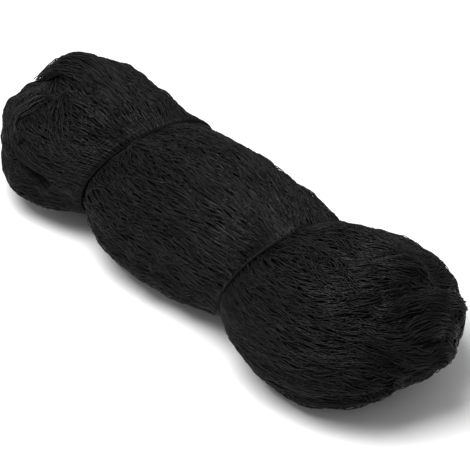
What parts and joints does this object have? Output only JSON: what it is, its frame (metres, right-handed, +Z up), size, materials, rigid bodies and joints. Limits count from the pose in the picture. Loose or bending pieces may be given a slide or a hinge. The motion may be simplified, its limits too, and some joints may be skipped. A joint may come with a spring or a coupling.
{
  "type": "hank of gathered bird netting",
  "caption": "Long hank of fine black knotted netting, gathered lengthwise and cinched by two cords into three soft lobes, lying on its side.",
  "frame": {"origin": "on the surface it rests on, under the middle of the hank's bounding box", "axes": "+X along the hank towards its puckered end, +Y across it towards its back, +Z up"},
  "size_m": [0.3582, 0.1258, 0.0811],
  "materials": {
    "netting": "fine black plastic twine, matt with a faint sheen along each strand",
    "tie_cord": "thin twisted black cord, matt"
  },
  "bodies": {
    "root": {"net_hank": "netting", "tie_far": "tie_cord", "tie_near": "tie_cord"}
  },
  "joints": []
}
